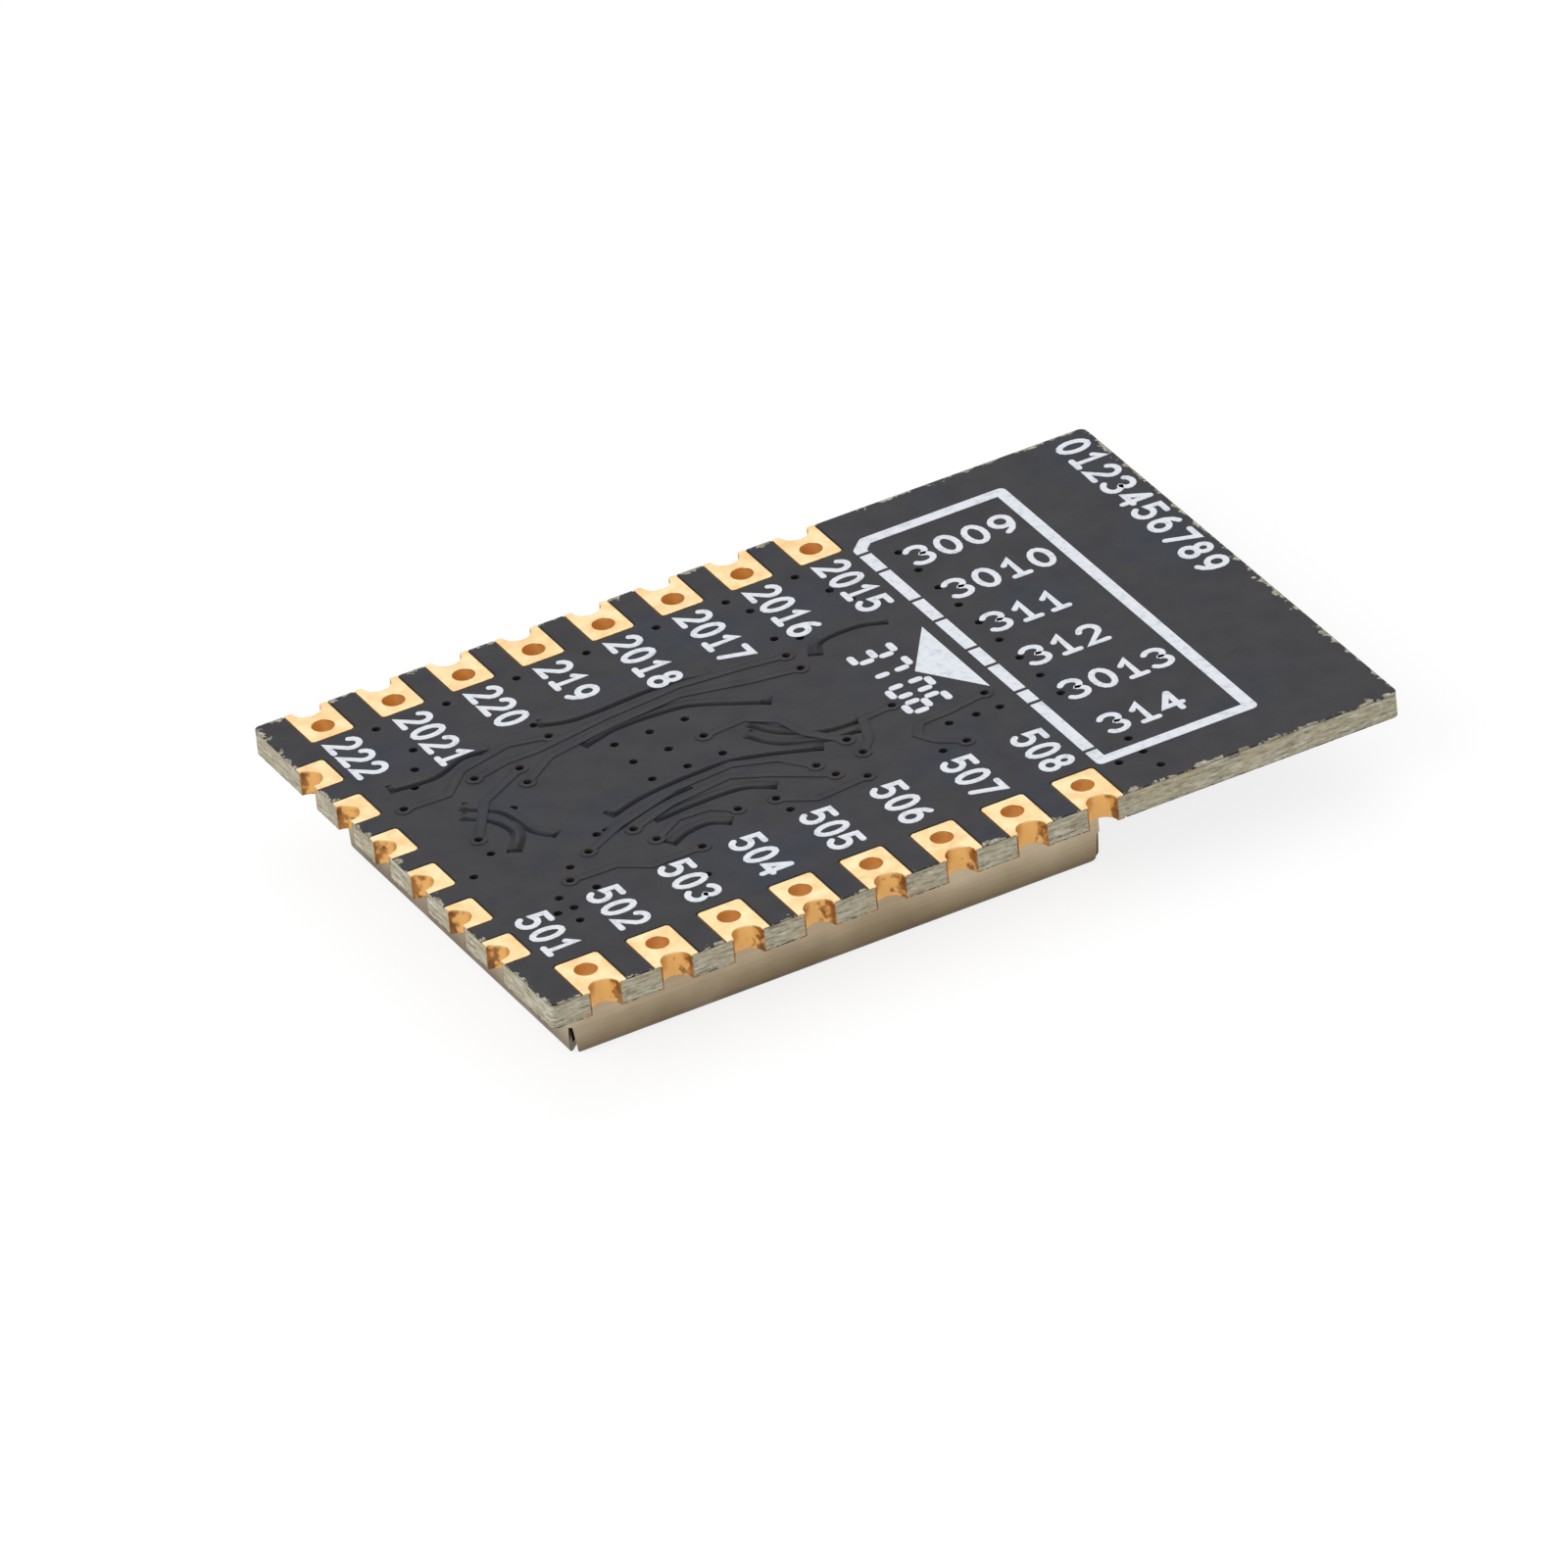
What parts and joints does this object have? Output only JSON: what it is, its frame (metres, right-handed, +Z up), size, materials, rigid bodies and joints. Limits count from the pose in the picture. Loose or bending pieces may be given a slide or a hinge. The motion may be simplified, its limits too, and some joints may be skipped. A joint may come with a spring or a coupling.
{
  "type": "wifi module",
  "caption": "Thin castellated wireless circuit module: gold edge pads on a black board, a folded shield can under it and a bare antenna end past the can.",
  "frame": {"origin": "in the outer plane of the shield can's lid, which the module rests on, under the middle of the board", "axes": "+X along the board to its antenna end, +Z up, out of the solder side"},
  "size_m": [0.024, 0.016, 0.0031],
  "materials": {
    "fibre_glass_core": "matte",
    "black_mask": "satin",
    "gold_finish": "satin",
    "copper": "satin",
    "can_sheet": "satin",
    "solder": "satin",
    "chip_moulding": "matte",
    "tinned_leads": "satin",
    "crystal_ceramic": "matte",
    "capacitor_ceramic": "satin",
    "resistor_coat": "satin",
    "coil_ceramic": "satin",
    "white_print": "matte"
  },
  "bodies": {
    "root": {"laminate": "fibre_glass_core", "solder_mask_back": "black_mask", "solder_mask_front": "black_mask", "pads_near_row": "gold_finish", "pads_far_row": "gold_finish", "pads_end_row": "gold_finish", "via_barrels": "copper", "back_tracks": "copper", "antenna_track": "copper", "component_lands": "gold_finish", "ground_ring": "gold_finish", "shield_can": "can_sheet", "shield_solder": "solder", "soc_body": "chip_moulding", "soc_lead_frame": "tinned_leads", "flash_body": "chip_moulding", "flash_legs": "tinned_leads", "crystal_case": "crystal_ceramic", "crystal_lid": "tinned_leads", "capacitor_bodies": "capacitor_ceramic", "resistor_bodies": "resistor_coat", "coil_bodies": "coil_ceramic", "chip_end_caps": "solder", "chip_solder": "solder", "printed_frame": "white_print", "printed_arrow": "white_print"}
  },
  "joints": []
}
